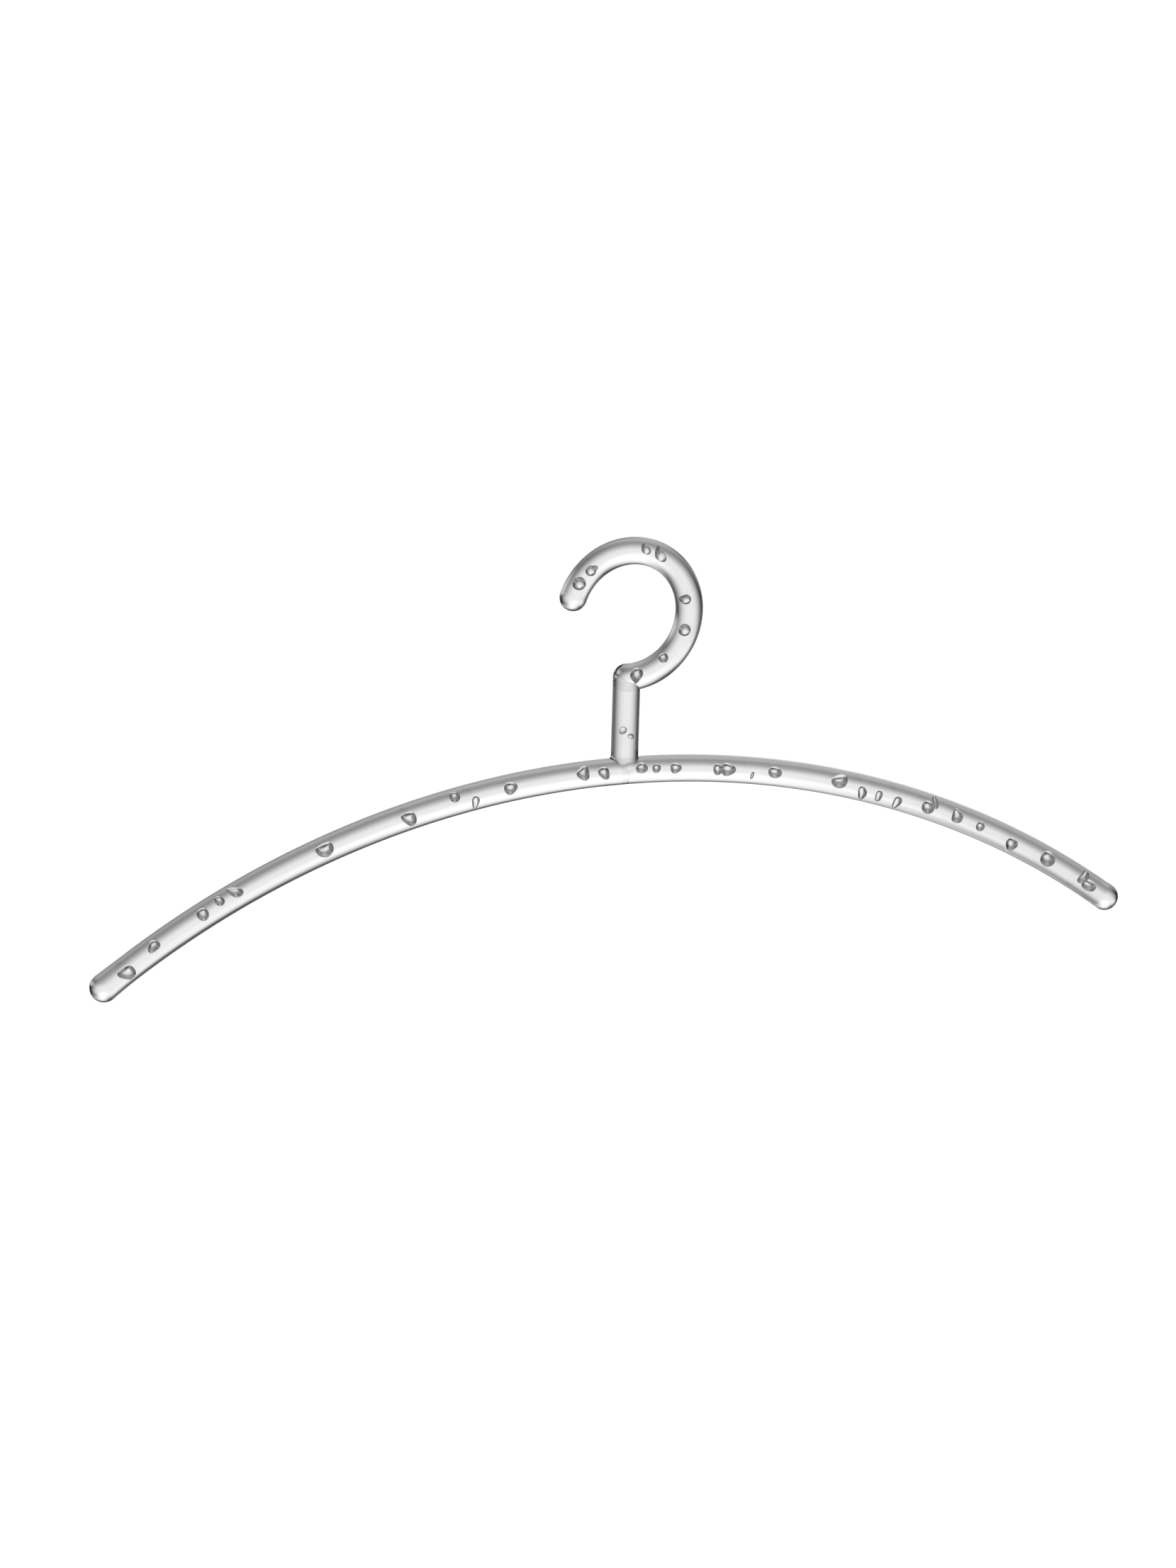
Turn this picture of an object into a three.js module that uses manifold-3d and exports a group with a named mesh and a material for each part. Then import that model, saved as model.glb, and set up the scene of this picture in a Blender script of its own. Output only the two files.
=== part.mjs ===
// A clear acrylic clothes hanger for a garment rail, made of four lengths of round rod.
//
// Two arms are bent to one long shallow arc and meet end to end under a short upright stem.
// The stem's foot is cut to a saddle over the arms, and its head to a saddle under the hook.
// The hook is one bent rod whose round end closes the elbow at the top of the stem.
// Every joint is cemented, so nothing moves.
//
// Millimetres, +Z up. X runs across the arms, and Y through the rod's thickness. The origin is
// the inner top of the hook, where the hanger rests on its rail.

import * as THREE from 'three';
import { mergeVertices } from 'three/addons/utils/BufferGeometryUtils.js';
import Module from 'manifold-3d';

// Driving dimensions
const ROD_RADIUS = 5.5;
const HOOK_BEND_RADIUS = 25.7; // to the rod's centreline
const HOOK_TIP_ANGLE = 161; // degrees round the hook, from +X towards +Z
const HOOK_FOOT_ANGLE = -90; // the elbow, at the bottom of the hook's circle
const STEM_HEIGHT = 38.1; // from the arms' centreline to the elbow's centre
const ARM_BEND_RADIUS = 371; // to the rod's centreline
const ARM_HALF_ANGLE = 35.8; // degrees of arc in each arm
const CEMENT_GAP = 0.3; // clearance that a cemented joint fills
const LEFT_TIP_SWELL = 0.3; // how far the flame-polished end stands proud of the rod
const RIGHT_TIP_SWELL = 0.1;
const TIP_SWELL_LENGTH = 14; // stretch of rod over which the swelling fades out

// Worked-out places
const HOOK_CENTRE_Z = ROD_RADIUS - HOOK_BEND_RADIUS;
const ELBOW_Z = HOOK_CENTRE_Z - HOOK_BEND_RADIUS;
const ARMS_TOP_Z = ELBOW_Z - STEM_HEIGHT; // centreline of the arms under the stem
const HOOK_LENGTH = HOOK_BEND_RADIUS * radians(HOOK_TIP_ANGLE - HOOK_FOOT_ANGLE);
const ARM_LENGTH = ARM_BEND_RADIUS * radians(ARM_HALF_ANGLE);
const HOOK_ARC = {
  centreZ: HOOK_CENTRE_Z,
  radius: HOOK_BEND_RADIUS,
  startAngle: HOOK_FOOT_ANGLE,
  turn: 1,
  length: HOOK_LENGTH,
};
const ARMS_ARC = { centreZ: ARMS_TOP_Z - ARM_BEND_RADIUS, radius: ARM_BEND_RADIUS, startAngle: 90 };

// Fineness of the faceted solids
const SIDES = 24;
const CAP_STEPS = 6; // rings in a hemispherical end
const ARM_STEPS = 22;
const HOOK_STEPS = 44;

const CLEAR_ACRYLIC = { color: 0xf2f5f7, roughness: 0.04, metalness: 0, transparent: true, opacity: 0.35 };

function radians(angle) {
  return (angle * Math.PI) / 180;
}

function degrees(angle) {
  return (angle * 180) / Math.PI;
}

// Outline points of a hemispherical end. outward is +1 for the far end and -1 for the near one.
function roundEnd(centre, radius, outward) {
  const points = [];
  for (let i = 0; i <= CAP_STEPS; i++) {
    const angle = (Math.PI / 2) * (i / CAP_STEPS);
    points.push(new THREE.Vector2(radius * Math.cos(angle), centre + outward * radius * Math.sin(angle)));
  }
  points[CAP_STEPS].x = 0;
  return points;
}

// Evenly spaced outline points along a rod's side, whose radius swells towards its far end.
function side(start, end, steps, radius, swell) {
  const points = [];
  for (let i = 0; i < steps; i++) {
    const along = start + ((end - start) * i) / steps;
    const nearTip = Math.max(0, 1 - (end - along) / TIP_SWELL_LENGTH);
    points.push(new THREE.Vector2(radius + swell * nearTip * nearTip, along));
  }
  return points;
}

// A straight rod along +Y that starts flat at y = start and ends round, with its tip's centre at y = end.
function flatStartedRod(start, end, steps, radius, swell) {
  const outline = [
    new THREE.Vector2(0, start),
    ...side(start, end, steps, radius, swell),
    ...roundEnd(end, radius + swell, 1),
  ];
  return new THREE.LatheGeometry(outline, SIDES);
}

// A straight rod along +Y with a round end centred at y = start and another at y = end.
function roundEndedRod(start, end, steps, radius) {
  const nearEnd = roundEnd(start, radius, -1).reverse();
  nearEnd.pop();
  const outline = [...nearEnd, ...side(start, end, steps, radius, 0), ...roundEnd(end, radius, 1)];
  return new THREE.LatheGeometry(outline, SIDES);
}

// An arc in the XZ plane, centred above or below the origin. It gives the point and the direction of
// travel at a distance from its start. Beyond either end it runs straight on, so that round ends
// keep their shape. turn is +1 from +X towards +Z, and -1 the other way.
function arc({ centreZ, radius, startAngle, turn, length }) {
  return (distance) => {
    const within = Math.min(Math.max(distance, 0), length);
    const angle = radians(startAngle) + (turn * within) / radius;
    const along = { x: -turn * Math.sin(angle), z: turn * Math.cos(angle) };
    const beyond = distance - within;
    const point = {
      x: radius * Math.cos(angle) + beyond * along.x,
      z: centreZ + radius * Math.sin(angle) + beyond * along.z,
    };
    return { point, along };
  };
}

// Bends a straight rod along an arc: distance y along the rod becomes distance along the arc.
function bend(geometry, place) {
  const position = geometry.getAttribute('position');
  for (let i = 0; i < position.count; i++) {
    const { point, along } = place(position.getY(i));
    const across = position.getX(i);
    const depth = position.getZ(i);
    position.setXYZ(i, point.x - along.z * across, depth, point.z + along.x * across);
  }
  return geometry;
}

// Joins shared vertices, so that only positions are left and the surface is one closed sheet.
function welded(geometry) {
  const bare = geometry.clone();
  bare.deleteAttribute('normal');
  bare.deleteAttribute('uv');
  return mergeVertices(bare, 1e-3);
}

function toSolid(wasm, geometry) {
  const closed = welded(geometry);
  const vertProperties = new Float32Array(closed.getAttribute('position').array);
  const triVerts = new Uint32Array(closed.getIndex().array);
  return new wasm.Manifold(new wasm.Mesh({ numProp: 3, vertProperties, triVerts }));
}

function toGeometry(solid) {
  const mesh = solid.getMesh();
  const geometry = new THREE.BufferGeometry();
  geometry.setAttribute('position', new THREE.BufferAttribute(new Float32Array(mesh.vertProperties), 3));
  geometry.setIndex(new THREE.BufferAttribute(new Uint32Array(mesh.triVerts), 1));
  return geometry;
}

// One arm: flat where it meets the other under the stem, and round at its tip. turn is -1 for the
// right arm and +1 for the left.
function arm(turn, tipSwell) {
  const rod = flatStartedRod(CEMENT_GAP / 2, ARM_LENGTH, ARM_STEPS, ROD_RADIUS, tipSwell);
  return bend(rod, arc({ ...ARMS_ARC, turn, length: ARM_LENGTH }));
}

function hook(radius = ROD_RADIUS) {
  return bend(roundEndedRod(0, HOOK_LENGTH, HOOK_STEPS, radius), arc(HOOK_ARC));
}

// The stretch of both arms that runs under the stem, thicker by the cement's gap.
function armsUnderStem() {
  const length = 6 * ROD_RADIUS;
  const radius = ROD_RADIUS + CEMENT_GAP;
  const startAngle = ARMS_ARC.startAngle + degrees(length / 2 / ARM_BEND_RADIUS);
  const outline = [
    new THREE.Vector2(0, 0),
    ...side(0, length, ARM_STEPS, radius, 0),
    new THREE.Vector2(radius, length),
    new THREE.Vector2(0, length),
  ];
  return bend(new THREE.LatheGeometry(outline, SIDES), arc({ ...ARMS_ARC, startAngle, turn: -1, length }));
}

// The upright between the arms and the hook, saddled over the one and under the other.
function stem(wasm) {
  const blank = new THREE.CylinderGeometry(ROD_RADIUS, ROD_RADIUS, STEM_HEIGHT, SIDES);
  blank.rotateX(Math.PI / 2);
  blank.translate(0, 0, ARMS_TOP_Z + STEM_HEIGHT / 2);
  const cut = toSolid(wasm, blank)
    .subtract(toSolid(wasm, armsUnderStem()))
    .subtract(toSolid(wasm, hook(ROD_RADIUS + CEMENT_GAP)));
  return toGeometry(cut);
}

function part(name, geometry) {
  const mesh = new THREE.Mesh(geometry, new THREE.MeshStandardMaterial(CLEAR_ACRYLIC));
  mesh.name = name;
  return mesh;
}

const wasm = await Module();
wasm.setup();

const group = new THREE.Group();
group.add(part('left_arm', welded(arm(1, LEFT_TIP_SWELL))));
group.add(part('right_arm', welded(arm(-1, RIGHT_TIP_SWELL))));
group.add(part('stem', stem(wasm)));
group.add(part('hook', welded(hook())));

export default group;
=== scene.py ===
"""A clear acrylic clothes hanger: four cemented lengths of round rod with air bubbles in them.

The CAD solids give every rod's size and place. Each rod is rebuilt here as a fine closed surface,
with the bubbles as closed surfaces inside it, because real acrylic shows outer and inner surfaces.
"""

import math
from collections import namedtuple

import bmesh
import bpy
from mathutils import Matrix, Vector


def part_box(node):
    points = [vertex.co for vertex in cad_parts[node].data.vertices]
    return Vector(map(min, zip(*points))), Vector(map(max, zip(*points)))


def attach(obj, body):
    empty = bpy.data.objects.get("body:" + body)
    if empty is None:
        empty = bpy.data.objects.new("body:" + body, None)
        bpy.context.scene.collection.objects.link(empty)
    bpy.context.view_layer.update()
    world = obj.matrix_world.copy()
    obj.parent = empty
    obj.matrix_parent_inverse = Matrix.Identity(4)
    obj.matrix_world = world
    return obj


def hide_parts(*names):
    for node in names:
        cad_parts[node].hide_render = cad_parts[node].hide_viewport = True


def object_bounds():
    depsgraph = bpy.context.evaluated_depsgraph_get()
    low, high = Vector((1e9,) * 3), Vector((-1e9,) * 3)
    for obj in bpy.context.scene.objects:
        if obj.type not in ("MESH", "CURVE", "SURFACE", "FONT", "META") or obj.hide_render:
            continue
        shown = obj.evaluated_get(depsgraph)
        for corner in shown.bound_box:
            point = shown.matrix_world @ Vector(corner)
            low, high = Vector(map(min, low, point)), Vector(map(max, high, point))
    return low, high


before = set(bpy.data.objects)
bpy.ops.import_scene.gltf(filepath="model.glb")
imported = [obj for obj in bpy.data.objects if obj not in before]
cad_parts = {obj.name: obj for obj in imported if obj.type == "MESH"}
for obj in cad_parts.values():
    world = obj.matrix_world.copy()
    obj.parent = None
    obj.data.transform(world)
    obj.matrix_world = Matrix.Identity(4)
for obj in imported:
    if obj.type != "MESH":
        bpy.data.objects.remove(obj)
cad_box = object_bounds()

MM = 0.001
IOR = 1.49  # acrylic

# ---------------------------------------------------------------- places from the frame

ROD_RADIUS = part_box("hook")[1].y
HOOK_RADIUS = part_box("hook")[1].x - ROD_RADIUS  # of the bend, to the rod's centreline
HOOK_CENTRE = Vector((0, 0, ROD_RADIUS - HOOK_RADIUS))
HOOK_TIP_ANGLE = math.acos((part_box("hook")[0].x + ROD_RADIUS) / HOOK_RADIUS)
HOOK_LENGTH = HOOK_RADIUS * (HOOK_TIP_ANGLE + math.pi / 2)
HOOK_BOW = 0.5 * MM  # how far the hook swings out of a true circle, first outwards and then inwards
HOOK_BOW_LENGTH = 70 * MM  # stretch of rod in each swing
ELBOW_Z = HOOK_CENTRE.z - HOOK_RADIUS
ARMS_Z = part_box("right_arm")[1].z - ROD_RADIUS  # the arms' centreline under the stem


def arm_arc(node):
    """(tip radius, bend radius, length) of an arm, from its box."""
    low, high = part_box(node)
    tip_radius = high.y
    reach = max(-low.x, high.x) - tip_radius
    drop = ARMS_Z - (low.z + tip_radius)
    bend_radius = (reach ** 2 + drop ** 2) / (2 * drop)
    return tip_radius, bend_radius, bend_radius * math.asin(reach / bend_radius)


# ---------------------------------------------------------------- fineness

SIDES = 96  # round each rod, a multiple of 4
QUARTER = SIDES // 4
ARM_ROWS = 150
HOOK_ROWS = 200
STEM_ROWS = 24
PATCH_ROWS = 12
FILLET_ROWS = 6
SADDLE_FADE = 3 * ROD_RADIUS  # stretch over which rows straighten out after a saddle
TINY = 1e-6

# ---------------------------------------------------------------- joints and ends

FILLET = 1.0 * MM  # how far the cement spreads round the stem's foot
FILLET_FLANK = 0.3  # cosine of the angle round the rod past which a fillet no longer spreads along it
SEAM_DEPTH = 0.07 * MM  # of the groove where the arms' ends meet
SEAM_WIDTH = 0.14 * MM  # on each side
SEAM_SIDE = math.radians(-135)  # angle round the rod where it is deepest, below and in front
TIP_FADE = 14 * MM  # stretch over which a swollen tip runs out

CLEAR, CEMENTED, BUBBLE = 0, 1, 2  # material slots of every rod

# ---------------------------------------------------------------- camera

VIEW_AZIMUTH = math.radians(-23.39)
VIEW_ELEVATION = math.radians(14.54)
VIEW_ROLL = math.radians(1.53)
VIEW_DISTANCE = 2.75
VIEW_TARGET = Vector((-15.4 * MM, 0, -88.3 * MM))
LENS = 159.6
TOWARDS_VIEWER = Vector((
    math.sin(VIEW_AZIMUTH) * math.cos(VIEW_ELEVATION),
    -math.cos(VIEW_AZIMUTH) * math.cos(VIEW_ELEVATION),
    math.sin(VIEW_ELEVATION),
))


def make_camera():
    level = Vector((math.cos(VIEW_AZIMUTH), math.sin(VIEW_AZIMUTH), 0))
    upright = TOWARDS_VIEWER.cross(level)
    right = level * math.cos(VIEW_ROLL) + upright * math.sin(VIEW_ROLL)
    up = TOWARDS_VIEWER.cross(right)
    data = bpy.data.cameras.new("camera")
    data.lens = LENS
    data.clip_start = 0.1
    data.clip_end = 200
    camera = bpy.data.objects.new("camera", data)
    bpy.context.scene.collection.objects.link(camera)
    turned = Matrix((right, up, TOWARDS_VIEWER)).transposed().to_4x4()
    camera.matrix_world = Matrix.Translation(VIEW_TARGET + TOWARDS_VIEWER * VIEW_DISTANCE) @ turned
    bpy.context.scene.camera = camera


# ---------------------------------------------------------------- centrelines

Place = namedtuple("Place", "point along outward")


def arc_place(centre, radius, start_angle, turn, length):
    """A function from distance along an arc in the XZ plane to the Place there.

    turn is +1 from +X towards +Z and -1 the other way. Past the arc's end the rod runs straight.
    """
    def place(distance):
        within = min(distance, length)
        angle = start_angle + turn * within / radius
        outward = Vector((math.cos(angle), 0, math.sin(angle)))
        along = Vector((-turn * math.sin(angle), 0, turn * math.cos(angle)))
        return Place(centre + outward * radius + along * (distance - within), along, outward)
    return place


def hook_place(distance):
    """The Place at a distance along the hook: on its circle, and then moved out or in by the bow."""
    circle = arc_place(HOOK_CENTRE, HOOK_RADIUS, -math.pi / 2, 1, HOOK_LENGTH)(distance)
    bow = HOOK_BOW * math.sin(math.pi * distance / HOOK_BOW_LENGTH)
    return Place(circle.point + circle.outward * bow, circle.along, circle.outward)


def section_point(place, radius, angle):
    """A point on a round rod's surface. angle 0 is on the outside of the bend, and 90 degrees is +Y."""
    around = place.outward * math.cos(angle) + Vector((0, math.sin(angle), 0))
    return place.point + around * radius


def saddle_reach(bend_radius, angle):
    """How far along a bent rod the stem's wall meets its surface, at an angle round the rod."""
    across = ROD_RADIUS * max(0.0, math.cos(angle))
    return bend_radius * math.asin(across / (bend_radius + across))


def side_angle(index):
    return 2 * math.pi * index / SIDES


def joint_edge(bend_radius, angle, fillet):
    """Where a saddle joint and its fillet end on a bent rod: (distance along it, angle round it)."""
    along = min(1.0, max(0.0, math.cos(angle)) / FILLET_FLANK)
    around = math.sin(angle)
    length = max(1.0, math.hypot(along, around))
    reach = saddle_reach(bend_radius, angle) + fillet * along / length
    return reach, angle + fillet / ROD_RADIUS * around / length


# ---------------------------------------------------------------- skins

class Skin:
    """Collects faces by their corners' places, so that faces that meet share their corners."""

    def __init__(self):
        self.points = []
        self.known = {}
        self.faces = []
        self.slots = []

    def corner(self, point):
        key = tuple(round(value * 1e7) for value in point)
        if key not in self.known:
            self.known[key] = len(self.points)
            self.points.append(point)
        return self.known[key]

    def face(self, corners, slot):
        numbers = []
        for point in corners:
            number = self.corner(point)
            if number not in numbers:
                numbers.append(number)
        if len(numbers) > 2:
            self.faces.append(numbers)
            self.slots.append(slot)

    def grid(self, rows, slot, closed):
        """Faces between neighbouring rows of points. A closed row joins its last point to its first."""
        for low, high in zip(rows, rows[1:]):
            count = len(low)
            for i in range(count if closed else count - 1):
                j = (i + 1) % count
                self.face((low[i], low[j], high[j], high[i]), slot)

    def fan(self, middle, ring, slot):
        for i, point in enumerate(ring):
            self.face((middle, point, ring[(i + 1) % len(ring)]), slot)

    def add(self, faces, slot):
        for corners in faces:
            self.face(corners, slot)

    def faces_in(self, slot):
        """The corner places of every face in a slot."""
        return [[self.points[n] for n in face] for face, s in zip(self.faces, self.slots) if s == slot]


def wall_rows(place, bend_radius, length, count, radius_at, fillet):
    """Rows of a rod's wall. The first follows the edge of the stem's joint, and later ones straighten."""
    near_seam = [0, SEAM_WIDTH / 2, SEAM_WIDTH, 2 * SEAM_WIDTH]
    rows = []
    for distance in near_seam + [length * k / count for k in range(1, count + 1)]:
        lean = max(0.0, 1 - distance / SADDLE_FADE)
        row = []
        for i in range(SIDES):
            angle = side_angle(i)
            reach, turned = joint_edge(bend_radius, angle, fillet)
            s = distance + reach * lean
            row.append(section_point(place(s), radius_at(s, angle), angle + (turned - angle) * lean))
        rows.append(row)
    return rows


def saddle_patch(place, bend_radius, radius_at, fillet):
    """Rows of the part of a rod's wall that the stem covers: its outer half, out to the joint's edge."""
    rows = []
    for k in range(PATCH_ROWS + 1):
        row = []
        for i in range(-QUARTER, QUARTER + 1):
            angle = side_angle(i)
            reach, turned = joint_edge(bend_radius, angle, fillet)
            s = reach * k / PATCH_ROWS
            row.append(section_point(place(s), radius_at(s, angle), turned))
        rows.append(row)
    return rows


def dome_rows(end, radius, direction, sides):
    """Rows of a half-round end from its rim to just short of its pole, and the pole."""
    rows = []
    for k in range(QUARTER):
        rise = math.pi / 2 * k / QUARTER
        ring = Place(end.point + direction * radius * math.sin(rise), end.along, end.outward)
        rows.append([section_point(ring, radius * math.cos(rise), side_angle(i)) for i in sides])
    return rows, end.point + direction * radius


# place and radius_at are functions of the distance along a rod, and centre is its bend's.
Rod = namedtuple("Rod", "skin place radius_at centre bend_radius")


def arm_radius(distance, angle, length, tip_radius):
    """An arm's radius at a distance along it and an angle round it: grooved at the seam, fat at the tip."""
    near_seam = max(0.0, 1 - distance / SEAM_WIDTH) * max(0.0, math.cos(angle - SEAM_SIDE))
    near_tip = max(0.0, 1 - (length - distance) / TIP_FADE)
    return ROD_RADIUS - SEAM_DEPTH * near_seam + (tip_radius - ROD_RADIUS) * near_tip ** 2


def arm_rod(node):
    tip_radius, bend_radius, length = arm_arc(node)
    turn = -1 if node == "right_arm" else 1
    centre = Vector((0, 0, ARMS_Z - bend_radius))
    place = arc_place(centre, bend_radius, math.pi / 2, turn, length)

    def radius_at(distance, angle):
        return arm_radius(distance, angle, length, tip_radius)

    skin = Skin()
    skin.grid(wall_rows(place, bend_radius, length, ARM_ROWS, radius_at, FILLET), CLEAR, closed=True)
    skin.grid(saddle_patch(place, bend_radius, radius_at, FILLET), CEMENTED, closed=False)
    start = place(0)
    butt = []
    for angle in [side_angle(i) for i in range(SIDES)]:
        _, turned = joint_edge(bend_radius, angle, FILLET)
        butt.append(section_point(start, radius_at(0, angle), turned))
    skin.fan(start.point, butt, CEMENTED)
    end = place(length)
    rows, pole = dome_rows(end, tip_radius, end.along, range(SIDES))
    skin.grid(rows, CLEAR, closed=True)
    skin.fan(pole, rows[-1], CLEAR)
    return Rod(skin, place, radius_at, centre, bend_radius)


def hook_rod():
    def radius_at(distance, angle):
        return ROD_RADIUS

    skin = Skin()
    skin.grid(wall_rows(hook_place, HOOK_RADIUS, HOOK_LENGTH, HOOK_ROWS, radius_at, 0), CLEAR, closed=True)
    skin.grid(saddle_patch(hook_place, HOOK_RADIUS, radius_at, 0), CEMENTED, closed=False)
    end = hook_place(HOOK_LENGTH)
    rows, pole = dome_rows(end, ROD_RADIUS, end.along, range(SIDES))
    skin.grid(rows, CLEAR, closed=True)
    skin.fan(pole, rows[-1], CLEAR)
    foot = hook_place(0)
    covered = range(-QUARTER, QUARTER + 1)
    shown = range(QUARTER, 3 * QUARTER + 1)
    for sides, slot in ((covered, CEMENTED), (shown, CLEAR)):
        rows, pole = dome_rows(foot, ROD_RADIUS, -foot.along, sides)
        skin.grid(rows + [[pole] * len(sides)], slot, closed=False)
    return Rod(skin, hook_place, radius_at, HOOK_CENTRE, HOOK_RADIUS)


def stem_column(arm, angle):
    """Points up the stem's wall at an angle round it: a fillet of cement, then straight to the hook."""
    # The arms are alike on both sides of the stem, and the hook only runs to the right.
    to_right = math.cos(angle) >= 0
    side = angle if to_right else math.pi - angle
    reach, turned = joint_edge(arm.bend_radius, side, FILLET)
    edge = section_point(arm.place(reach), arm.radius_at(reach, side), turned)
    crease = section_point(arm.place(saddle_reach(arm.bend_radius, side)), ROD_RADIUS, side)
    if not to_right:
        edge.x = -edge.x
        crease.x = -crease.x
    wall = crease + Vector((0, 0, FILLET))
    top = Vector((ROD_RADIUS * math.cos(angle), ROD_RADIUS * math.sin(angle), ELBOW_Z))
    if to_right:
        top = section_point(hook_place(saddle_reach(HOOK_RADIUS, angle)), ROD_RADIUS, angle)
    shares = [k / FILLET_ROWS for k in range(FILLET_ROWS)]
    fillet = [edge.lerp(crease, share).lerp(crease.lerp(wall, share), share) for share in shares]
    return fillet + [wall.lerp(top, k / STEM_ROWS) for k in range(STEM_ROWS + 1)]


def stem_rod(right_arm, foot_faces, head_faces):
    """The stem's wall between the two saddles, closed by copies of the faces that it is cemented to."""
    columns = [stem_column(right_arm, side_angle(i)) for i in range(SIDES)]
    skin = Skin()
    skin.grid(list(zip(*columns)), CLEAR, closed=True)
    skin.add(foot_faces, CEMENTED)
    skin.add(head_faces, CEMENTED)

    def place(distance):
        return Place(Vector((0, 0, ARMS_Z + distance)), Vector((0, 0, 1)), Vector((1, 0, 0)))
    return Rod(skin, place, None, None, None)


# ---------------------------------------------------------------- bubbles

# A bubble is the smooth skin stretched over a few balls. A ball is (along the rod, across the rod,
# radius), in millimetres and as it looks from the front through the rod. depth is a bubble's
# thickness from front to back, as a share of what would be round.
Bubble = namedtuple("Bubble", "balls depth", defaults=(0.92,))

# Along the arms from the stem, negative to the left. Across is upwards.
ARM_BUBBLES = (
    Bubble(((-223.5, 0.0, 1.25), (-220.0, -0.4, 1.95), (-219.9, -2.1, 2.0))),
    Bubble(((-208.5, 0.25, 1.05), (-206.2, 1.7, 1.6), (-205.4, 0.7, 1.5))),
    Bubble(((-184.2, 0.8, 1.9), (-183.2, 0.9, 1.9), (-183.7, -0.3, 1.8))),
    Bubble(((-175.6, 2.1, 1.5), (-175.2, 1.2, 1.75))),
    Bubble(((-170.2, 3.3, 0.75), (-168.2, 0.8, 1.65), (-166.8, 0.5, 1.5))),
    Bubble((
        (-131.0, 0.6, 1.6), (-127.0, 0.7, 1.7),
        (-130.4, -0.7, 1.5), (-128.5, -1.3, 1.7), (-127.2, -0.7, 1.6),
    )),
    Bubble(((-94.4, 0.2, 1.2), (-91.8, -0.6, 2.2), (-91.5, -2.4, 1.6))),
    Bubble(((-72.0, 1.7, 2.15),)),
    Bubble(((-63.9, -1.6, 1.6), (-64.9, -4.1, 0.7)), 0.6),
    Bubble(((-49.2, 0.0, 2.1), (-49.0, -0.7, 2.1), (-47.2, 0.1, 1.5))),
    Bubble(((-19.0, 0.4, 1.3), (-16.4, 2.1, 1.3), (-16.5, -1.0, 1.4))),
    Bubble(((-9.7, 0.3, 1.4), (-8.1, 0.6, 1.55), (-7.5, -2.0, 1.0))),
    Bubble(((6.9, 0.4, 1.8), (7.9, 1.2, 1.4), (8.7, 0.3, 1.6))),
    Bubble(((13.6, 0.6, 1.1), (13.9, -0.4, 1.35), (14.5, 0.4, 1.4))),
    Bubble(((21.6, 0.6, 1.25), (21.8, -0.8, 1.4), (23.5, 0.1, 1.5))),
    Bubble(((40.7, 0.1, 1.7), (41.0, -1.1, 1.65))),
    Bubble(((44.5, 0.2, 2.1), (44.7, -0.8, 2.1), (47.0, -0.2, 1.8))),
    Bubble(((56.5, -0.9, 0.45), (56.1, -2.9, 0.55))),
    Bubble(((65.4, 0.1, 2.1), (67.3, 0.0, 2.0))),
    Bubble(((93.4, 0.2, 1.4), (97.5, 1.7, 1.65), (96.6, -0.1, 2.0), (94.8, -0.4, 1.7))),
    Bubble(((106.3, -0.9, 1.5), (107.4, -2.3, 1.6), (107.2, -4.0, 0.8)), 0.7),
    Bubble(((114.6, -0.9, 1.5), (114.6, -2.9, 1.1)), 0.7),
    Bubble(((123.7, -1.6, 1.9), (123.1, -4.1, 0.8)), 0.7),
    Bubble(((137.3, -0.2, 2.3), (138.5, -0.7, 2.3))),
    Bubble(((139.7, 3.8, 0.85), (141.4, 0.9, 1.0))),
    Bubble(((150.7, 2.1, 1.0), (151.2, -1.2, 1.1), (153.4, -1.0, 1.2), (153.3, 0.7, 1.3))),
    Bubble(((163.9, 0.0, 2.0),)),
    Bubble(((179.8, -0.7, 1.8), (181.6, -0.8, 1.95), (181.0, -2.8, 1.3))),
    Bubble(((198.6, 0.4, 2.8), (199.9, 0.2, 2.85))),
    Bubble(((218.4, 3.4, 1.2), (219.2, 2.6, 1.4), (217.7, 0.1, 1.5))),
    Bubble(((220.7, -0.3, 1.7), (222.3, 0.0, 2.0), (224.0, 0.1, 1.95))),
)

# Along the hook from the elbow. Across is towards the inside of the bend.
HOOK_BUBBLES = (
    Bubble(((5.1, 0.9, 2.1), (4.0, 0.5, 2.2), (3.6, -1.9, 0.9))),
    Bubble(((17.0, 1.7, 1.35), (18.4, 1.5, 1.35), (17.8, 0.8, 1.5))),
    Bubble(((31.1, 0.9, 1.6), (32.8, 0.8, 1.6), (31.3, -0.3, 1.5), (32.6, -0.3, 1.5))),
    Bubble(((44.5, 1.1, 2.1), (45.1, 3.4, 0.5))),
    Bubble(((65.2, 0.3, 1.1), (67.1, 0.1, 1.4), (68.3, 0.1, 1.3), (69.0, -2.3, 1.0))),
    Bubble(((72.9, -0.2, 1.2), (74.5, -0.3, 1.2), (74.8, -2.1, 0.85))),
    Bubble(((99.6, 0.4, 2.1),), 0.6),
    Bubble(((97.5, 0.7, 1.1),)),
    Bubble(((106.5, 0.0, 2.35), (106.7, -0.3, 2.4))),
)

# Up the stem from the arms' centreline. Across is to the left.
STEM_BUBBLES = (
    Bubble(((16.6, 0.6, 1.3), (15.8, 1.4, 1.0)), 0.5),
    Bubble(((14.2, -1.9, 0.8), (13.9, -2.8, 0.85)), 0.5),
)

BUBBLE_DETAIL = 5  # subdivisions of an icosahedron
SKIN_TIGHTNESS = 3.5  # per millimetre: how closely the skin hugs the balls


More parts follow.
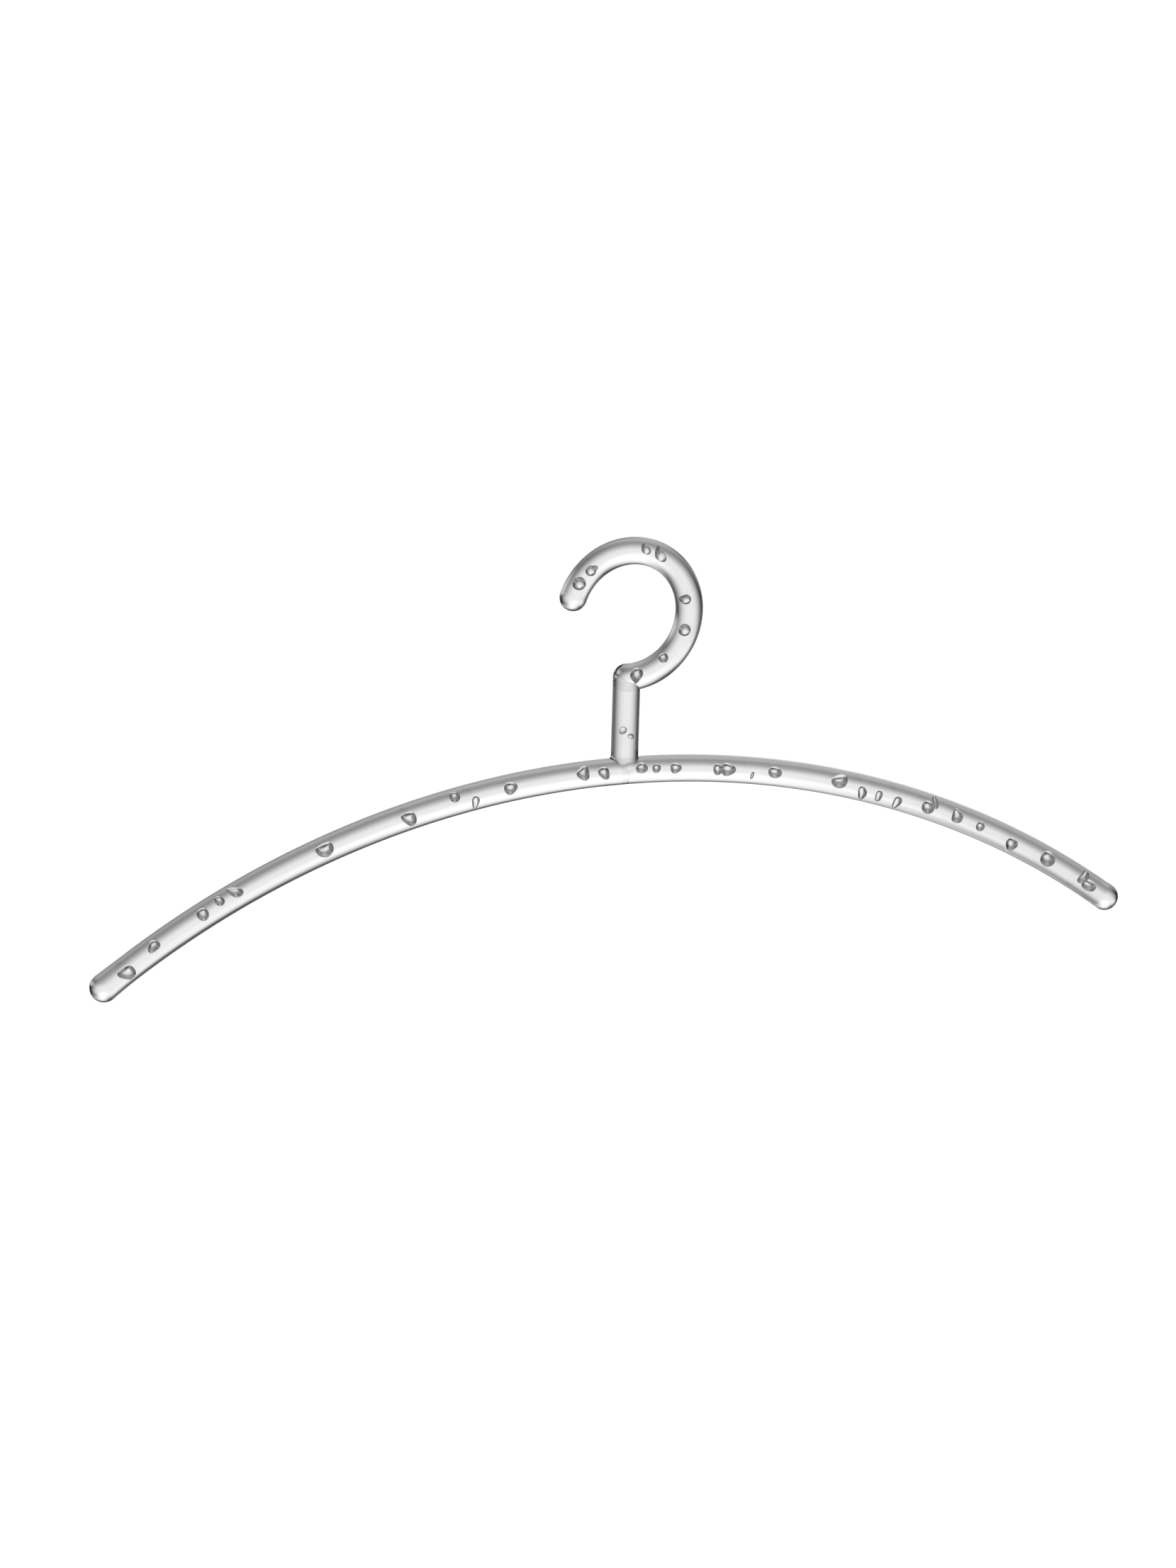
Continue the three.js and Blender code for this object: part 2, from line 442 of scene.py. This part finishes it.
def outline_point(balls, x, y):
    """Where the skin over some balls faces (x, y). It bulges a little between them, so it has no flats."""
    reaches = [ball[0] * x + ball[1] * y + ball[2] for ball in balls]
    furthest = max(reaches)
    weights = [math.exp(SKIN_TIGHTNESS * (reach - furthest)) for reach in reaches]
    reach = furthest + math.log(sum(weights)) / SKIN_TIGHTNESS
    aside = sum(w * (ball[1] * x - ball[0] * y) for ball, w in zip(balls, weights)) / sum(weights)
    return Vector((reach * x - aside * y, reach * y + aside * x))


def skin_point(balls, middle, half_size, direction):
    """A point of a bubble, whose outline is the skin round its balls. Its front and back are oval domes."""
    level = math.hypot(direction.x, direction.y)
    height = half_size.z * direction.z
    if level < TINY:
        return Vector((*middle, height))
    x = direction.x / level
    y = direction.y / level
    oval = middle + Vector((half_size.x * x, half_size.y * y))
    rim = oval.lerp(outline_point(balls, x, y), level ** 2)
    return Vector((*middle.lerp(rim, level), height))


def unbent(height, magnified):
    """The real height off a rod's axis, in millimetres, of what looks that high through its wall."""
    radius = ROD_RADIUS / MM
    bend = math.asin(height / radius) - math.asin(height / radius / magnified)
    return height / magnified / math.cos(bend)


def add_bubble(mesh, bubble, place):
    """Adds a bubble to a rod's mesh: a closed surface whose faces should point into the air inside it.

    Known fault: seven bubbles in the hook and one in the stem face into the rod instead. Moving the
    vertices leaves the faces' normals out of date, and a mesh.normal_update() before
    recalc_face_normals would put them right.
    """
    middle = sum(ball[0] for ball in bubble.balls) / len(bubble.balls)
    spot = place(abs(middle) * MM)
    along = spot.along if middle >= 0 else -spot.along
    across = TOWARDS_VIEWER.cross(along).normalized()
    depth = along.cross(across)
    # A line of sight that slants along the rod bends as it goes in, which moves what it meets.
    slant = along.dot(TOWARDS_VIEWER)
    level = math.sqrt(1 - slant ** 2)
    inner = slant / math.sqrt(IOR ** 2 - slant ** 2)
    shift = ROD_RADIUS * (slant / level - inner)
    magnified = math.sqrt(IOR ** 2 - slant ** 2) / level
    balls = [(x - middle, y, radius) for x, y, radius in bubble.balls]
    low = Vector((outline_point(balls, -1, 0).x, outline_point(balls, 0, -1).y))
    high = Vector((outline_point(balls, 1, 0).x, outline_point(balls, 0, 1).y))
    half_size = ((high - low) / 2).to_3d()
    half_size.z = bubble.depth * (half_size.x + half_size.y / magnified) / 2
    start = len(mesh.verts)
    bmesh.ops.create_icosphere(mesh, subdivisions=BUBBLE_DETAIL, radius=1)
    mesh.verts.ensure_lookup_table()
    made = mesh.verts[start:]
    for vertex in made:
        seen = skin_point(balls, (low + high) / 2, half_size, vertex.co.normalized())
        x = seen.x * MM + shift
        y = unbent(seen.y, magnified) * MM
        z = seen.z * MM
        vertex.co = spot.point + along * x + across * y + depth * z
    inside = {face for vertex in made for face in vertex.link_faces}
    for face in inside:
        face.material_index = BUBBLE
    bmesh.ops.recalc_face_normals(mesh, faces=list(inside))
    bmesh.ops.reverse_faces(mesh, faces=list(inside))


def grain_point(rod, point):
    """Coordinates in millimetres that run straight with a rod: along it, and across it both ways."""
    if rod.centre is None:
        return Vector((point.z, point.y, point.x)) / MM
    spoke = Vector((point.x - rod.centre.x, point.z - rod.centre.z))
    along = math.atan2(spoke.y, spoke.x) * rod.bend_radius
    return Vector((along, point.y, spoke.length - rod.bend_radius)) / MM


def make_piece(name, node, rod, bubbles, materials):
    mesh = bpy.data.meshes.new(name)
    mesh.from_pydata([tuple(p) for p in rod.skin.points], [], rod.skin.faces)
    mesh.polygons.foreach_set("material_index", rod.skin.slots)
    surface = bmesh.new()
    surface.from_mesh(mesh)
    bmesh.ops.recalc_face_normals(surface, faces=surface.faces[:])
    if surface.calc_volume(signed=True) < 0:
        bmesh.ops.reverse_faces(surface, faces=surface.faces[:])
    for edge in surface.edges:
        if len({face.material_index for face in edge.link_faces}) > 1:
            edge.smooth = False
    for bubble in bubbles:
        add_bubble(surface, bubble, rod.place)
    for face in surface.faces:
        face.smooth = True
    surface.to_mesh(mesh)
    surface.free()
    grain = mesh.attributes.new("grain", "FLOAT_VECTOR", "POINT")
    for vertex, value in zip(mesh.vertices, grain.data):
        value.vector = grain_point(rod, vertex.co)
    for material in materials:
        mesh.materials.append(material)
    piece = bpy.data.objects.new(name, mesh)
    bpy.context.scene.collection.objects.link(piece)
    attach(piece, "root")
    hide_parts(node)


# ---------------------------------------------------------------- materials

NOISE_LOW, NOISE_HIGH = 0.35, 0.65  # the part of its range that noise mostly fills


def grain_noise(nodes, name, stretch, scale, detail=2.0):
    """Noise in a piece's own grain coordinates, drawn out along the rod by stretch."""
    links = nodes.id_data.links
    grain = nodes.new("ShaderNodeAttribute")
    grain.attribute_name = "grain"
    place = nodes.new("ShaderNodeMapping")
    place.inputs["Scale"].default_value = (1 / stretch, 1, 1)
    noise_texture = nodes.new("ShaderNodeTexNoise")
    noise_texture.name = name
    noise_texture.inputs["Scale"].default_value = scale
    noise_texture.inputs["Detail"].default_value = detail
    links.new(grain.outputs["Vector"], place.inputs["Vector"])
    links.new(place.outputs["Vector"], noise_texture.inputs["Vector"])
    return noise_texture.outputs["Fac"]


def varied(nodes, noise, low, high):
    """A number that goes from low to high as noise does, as a socket."""
    span = nodes.new("ShaderNodeMapRange")
    span.inputs["From Min"].default_value = NOISE_LOW
    span.inputs["From Max"].default_value = NOISE_HIGH
    span.inputs["To Min"].default_value = low
    span.inputs["To Max"].default_value = high
    nodes.id_data.links.new(noise, span.inputs["Value"])
    return span.outputs["Result"]


def bumped(nodes, height, distance, normal=None):
    """A bump from a height socket, whose full range stands for a distance in metres."""
    bump = nodes.new("ShaderNodeBump")
    bump.inputs["Strength"].default_value = 1.0
    bump.inputs["Distance"].default_value = distance
    nodes.id_data.links.new(height, bump.inputs["Height"])
    if normal:
        nodes.id_data.links.new(normal, bump.inputs["Normal"])
    return bump.outputs["Normal"]


def tinted(nodes, noise, low, high):
    """A colour that goes from low to high as noise does, as a socket."""
    ramp = nodes.new("ShaderNodeValToRGB")
    start, end = ramp.color_ramp.elements
    start.position = NOISE_LOW
    start.color = (*low, 1)
    end.position = NOISE_HIGH
    end.color = (*high, 1)
    nodes.id_data.links.new(noise, ramp.inputs["Fac"])
    return ramp.outputs["Color"]


def acrylic_shader(name):
    material = bpy.data.materials.new(name)
    material.use_nodes = True
    shader = material.node_tree.nodes["Principled BSDF"]
    shader.inputs["IOR"].default_value = IOR
    shader.inputs["Transmission Weight"].default_value = 1.0
    return material, material.node_tree.nodes, material.node_tree.links, shader


def clear_acrylic():
    """Polished rod: faint draw lines along it, a slight unevenness, and smudges that dull it a little."""
    material, nodes, links, shader = acrylic_shader("clear_acrylic")
    smudges = grain_noise(nodes, "smudges", 3.0, 0.12)
    tint = tinted(nodes, smudges, (0.98, 0.98, 0.98), (0.995, 0.995, 0.993))
    links.new(tint, shader.inputs["Base Color"])
    links.new(varied(nodes, smudges, 0.09, 0.01), shader.inputs["Roughness"])
    waves = grain_noise(nodes, "unevenness", 4.0, 0.22)
    unevenness = bumped(nodes, waves, 0.035 * MM)
    draw_lines = grain_noise(nodes, "draw_lines", 40.0, 0.9)
    links.new(bumped(nodes, draw_lines, 0.005 * MM, unevenness), shader.inputs["Normal"])
    return material


def bubble_wall():
    """The inside of a bubble, which is a little rippled and not quite smooth."""
    material, nodes, links, shader = acrylic_shader("bubble_wall")
    ripples = grain_noise(nodes, "ripples", 1.0, 0.8)
    tint = tinted(nodes, ripples, (0.96, 0.965, 0.98), (0.99, 0.99, 0.99))
    links.new(tint, shader.inputs["Base Color"])
    links.new(varied(nodes, ripples, 0.24, 0.34), shader.inputs["Roughness"])
    links.new(bumped(nodes, ripples, 0.01 * MM), shader.inputs["Normal"])
    return material


def clear_cement():
    """The filled joint between two rods: light goes straight through it, but for faint specks."""
    material = bpy.data.materials.new("clear_cement")
    material.use_nodes = True
    nodes = material.node_tree.nodes
    nodes.clear()
    output = nodes.new("ShaderNodeOutputMaterial")
    shader = nodes.new("ShaderNodeBsdfTransparent")
    specks = grain_noise(nodes, "specks", 1.0, 0.9, 4.0)
    tint = tinted(nodes, specks, (0.9, 0.9, 0.91), (0.99, 0.99, 0.99))
    material.node_tree.links.new(tint, shader.inputs["Color"])
    material.node_tree.links.new(shader.outputs["BSDF"], output.inputs["Surface"])
    return material


# ---------------------------------------------------------------- studio

# Soft white panels round the hanger, which the rods gather. Azimuth is from the main view's far
# side, and width and height are half of what a panel covers, all in degrees. softness is the
# share of a panel over which its edge fades.
Panel = namedtuple("Panel", "azimuth elevation width height softness colour")

PANELS = (
    Panel(-2, -7.3, 62, 36.8, 0.81, (0.82, 0.82, 0.82)),
    Panel(0, 18, 28, 30, 0.85, (0.5, 0.5, 0.5)),
    Panel(-29, 7, 19, 19, 0.9, (0.42, 0.42, 0.42)),
    Panel(-14, 14, 50, 31, 0.95, (0.15, 0.15, 0.15)),
    Panel(22, 27, 50, 20, 0.85, (0.5, 0.5, 0.5)),
    Panel(52, -24, 28, 12, 0.85, (0.6, 0.6, 0.61)),
    Panel(6, -54, 65, 31, 0.89, (0.43, 0.43, 0.425)),
    Panel(0, -90, 30, 30, 0.6, (0.55, 0.55, 0.55)),
    Panel(80, 5, 36, 45, 0.9, (0.15, 0.15, 0.2)),
    Panel(112, 0, 34, 40, 0.6, (0.45, 0.45, 0.54)),
    Panel(166, 0, 62, 52, 0.5, (0.85, 0.85, 0.86)),
    Panel(-120, 0, 42, 46, 0.5, (0.5, 0.5, 0.51)),
    Panel(-68, 34, 34, 26, 1.0, (0.5, 0.5, 0.5)),
    Panel(-72, -44, 32, 26, 1.0, (0.42, 0.42, 0.42)),
)
AMBIENT = (0.015, 0.015, 0.017)  # light from all round, on top of the panels'


def panel_light(nodes, direction, panel):
    """A panel's brightness in a ray's direction, as the colour socket of a node."""
    azimuth = math.radians(panel.azimuth) - VIEW_AZIMUTH
    elevation = math.radians(panel.elevation)
    links = nodes.id_data.links
    place = nodes.new("ShaderNodeMapping")
    place.vector_type = "TEXTURE"
    place.inputs["Location"].default_value = (
        math.sin(azimuth) * math.cos(elevation),
        math.cos(azimuth) * math.cos(elevation),
        math.sin(elevation),
    )
    place.inputs["Rotation"].default_value = (elevation, 0, -azimuth)
    width = math.sin(math.radians(panel.width))
    height = math.sin(math.radians(panel.height))
    place.inputs["Scale"].default_value = (width, width, height)
    links.new(direction, place.inputs["Vector"])
    middle = nodes.new("ShaderNodeTexGradient")
    middle.gradient_type = "SPHERICAL"
    links.new(place.outputs["Vector"], middle.inputs["Vector"])
    edge = nodes.new("ShaderNodeMapRange")
    edge.data_type = "FLOAT_VECTOR"
    edge.interpolation_type = "SMOOTHSTEP"
    links.new(middle.outputs["Color"], edge.inputs["Vector"])
    edge.inputs["From Max"].default_value = (panel.softness,) * 3
    edge.inputs["To Max"].default_value = panel.colour
    return edge.outputs["Vector"]


def make_world():
    world = bpy.data.worlds.new("studio")
    world.use_nodes = True
    nodes = world.node_tree.nodes
    links = world.node_tree.links
    nodes.clear()
    direction = nodes.new("ShaderNodeTexCoord").outputs["Generated"]
    studio = nodes.new("ShaderNodeBackground")
    total = nodes.new("ShaderNodeVectorMath")
    total.inputs[0].default_value = AMBIENT
    for panel in PANELS:
        both = nodes.new("ShaderNodeVectorMath")
        links.new(total.outputs["Vector"], both.inputs[0])
        links.new(panel_light(nodes, direction, panel), both.inputs[1])
        total = both
    links.new(total.outputs["Vector"], studio.inputs["Color"])
    plain = nodes.new("ShaderNodeBackground")
    plain.inputs["Color"].default_value = (1, 1, 1, 1)
    seen = nodes.new("ShaderNodeLightPath").outputs["Is Camera Ray"]
    mix = nodes.new("ShaderNodeMixShader")
    links.new(seen, mix.inputs[0])
    links.new(studio.outputs[0], mix.inputs[1])
    links.new(plain.outputs[0], mix.inputs[2])
    output = nodes.new("ShaderNodeOutputWorld")
    links.new(mix.outputs[0], output.inputs["Surface"])
    bpy.context.scene.world = world


FLOOR_DROP = 0.45  # below the hanger's lowest point
FLOOR_HALF_WIDTH = 40


def make_floor():
    mesh = bpy.data.meshes.new("floor")
    z = cad_box[0].z - FLOOR_DROP
    signs = ((-1, -1), (1, -1), (1, 1), (-1, 1))
    corners = [(x * FLOOR_HALF_WIDTH, y * FLOOR_HALF_WIDTH, z) for x, y in signs]
    mesh.from_pydata(corners, [], [(0, 1, 2, 3)])
    floor = bpy.data.objects.new("floor", mesh)
    bpy.context.scene.collection.objects.link(floor)
    material = bpy.data.materials.new("floor")
    material.use_nodes = True
    shader = material.node_tree.nodes["Principled BSDF"]
    shader.inputs["Base Color"].default_value = (0.9, 0.9, 0.9, 1)
    shader.inputs["Roughness"].default_value = 0.9
    shader.inputs["Emission Color"].default_value = (1, 1, 1, 1)
    shader.inputs["Emission Strength"].default_value = 1.0
    mesh.materials.append(material)
    floor.visible_transmission = False
    floor.visible_glossy = False


def set_light_paths():
    cycles = bpy.context.scene.cycles
    cycles.max_bounces = 32
    cycles.transmission_bounces = 32
    cycles.glossy_bounces = 8
    cycles.transparent_max_bounces = 32
    cycles.caustics_reflective = False
    cycles.caustics_refractive = False
    bpy.context.scene.view_settings.view_transform = "Standard"


# ---------------------------------------------------------------- the hanger

make_camera()
make_world()
make_floor()
set_light_paths()

rod_materials = (clear_acrylic(), clear_cement(), bubble_wall())
left_arm = arm_rod("left_arm")
right_arm = arm_rod("right_arm")
hook = hook_rod()
on_arms = left_arm.skin.faces_in(CEMENTED) + right_arm.skin.faces_in(CEMENTED)
under_stem = [face for face in on_arms if max(abs(point.x) for point in face) > TINY]
stem = stem_rod(right_arm, under_stem, hook.skin.faces_in(CEMENTED))
left_bubbles = [b for b in ARM_BUBBLES if b.balls[0][0] < 0]
right_bubbles = [b for b in ARM_BUBBLES if b.balls[0][0] > 0]
make_piece("left_arm_rod", "left_arm", left_arm, left_bubbles, rod_materials)
make_piece("right_arm_rod", "right_arm", right_arm, right_bubbles, rod_materials)
make_piece("stem_rod", "stem", stem, STEM_BUBBLES, rod_materials)
make_piece("hook_rod", "hook", hook, HOOK_BUBBLES, rod_materials)
